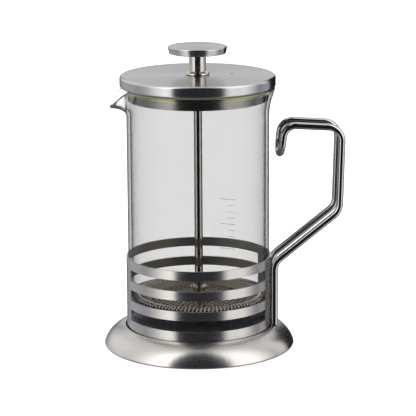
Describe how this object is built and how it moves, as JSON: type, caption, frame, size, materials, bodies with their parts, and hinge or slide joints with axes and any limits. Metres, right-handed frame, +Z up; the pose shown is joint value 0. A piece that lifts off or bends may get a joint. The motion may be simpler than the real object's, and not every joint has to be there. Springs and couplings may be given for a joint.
{
  "type": "french press",
  "caption": "Glass french press in a slotted steel stand with a bent wire handle, a steel lid, and a lift-out plunger with a spring-edged mesh filter.",
  "frame": {"origin": "on the table under the beaker's axis, at the centre of the base's flat underside", "axes": "+Z up along the beaker's axis, +X towards the handle, -X towards the spout"},
  "size_m": [0.1363, 0.108, 0.1711],
  "materials": {
    "brushed_steel": "stainless steel sheet, brushed round the axis",
    "polished_steel": "stainless steel, mirror polished",
    "pressed_steel": "stainless steel sheet, as rolled",
    "steel_hardware": "stainless steel, turned",
    "spring_wire": "bright drawn stainless wire",
    "woven_steel": "fine woven stainless mesh",
    "clear_glass": "clear heatproof glass, fire-polished rim"
  },
  "bodies": {
    "stand": {"base_flange": "brushed_steel", "bottom_plate": "pressed_steel", "sleeve": "brushed_steel", "seat_plate": "pressed_steel", "handle": "polished_steel"},
    "beaker": {"beaker": "clear_glass"},
    "lid": {"lid_cap": "brushed_steel", "lid_skirt": "pressed_steel", "lid_guide": "polished_steel", "guide_washer": "steel_hardware", "guide_nut": "steel_hardware"},
    "plunger": {"plunger_rod": "polished_steel", "filter_hub": "polished_steel", "spring_plate": "pressed_steel", "filter_spring": "spring_wire", "mesh_screen": "woven_steel", "cross_plate": "pressed_steel", "filter_washer": "steel_hardware", "filter_nut": "steel_hardware"},
    "knob": {"knob_neck": "polished_steel", "knob_disc": "brushed_steel"}
  },
  "joints": [
    {"name": "beaker_lift", "type": "slide", "parent": "stand", "child": "beaker", "axis": [0, 0, 1], "range_m": [0, 0.045]},
    {"name": "lid_lift", "type": "slide", "parent": "beaker", "child": "lid", "axis": [0, 0, 1], "range_m": [0, 0.135]},
    {"name": "plunge", "type": "slide", "parent": "lid", "child": "plunger", "axis": [0, 0, 1], "range_m": [0, 0.1137]},
    {"name": "knob_turn", "type": "hinge", "parent": "plunger", "child": "knob", "pos_m": [0, 0, 0.1671], "axis": [0, 0, 1], "continuous": true}
  ]
}
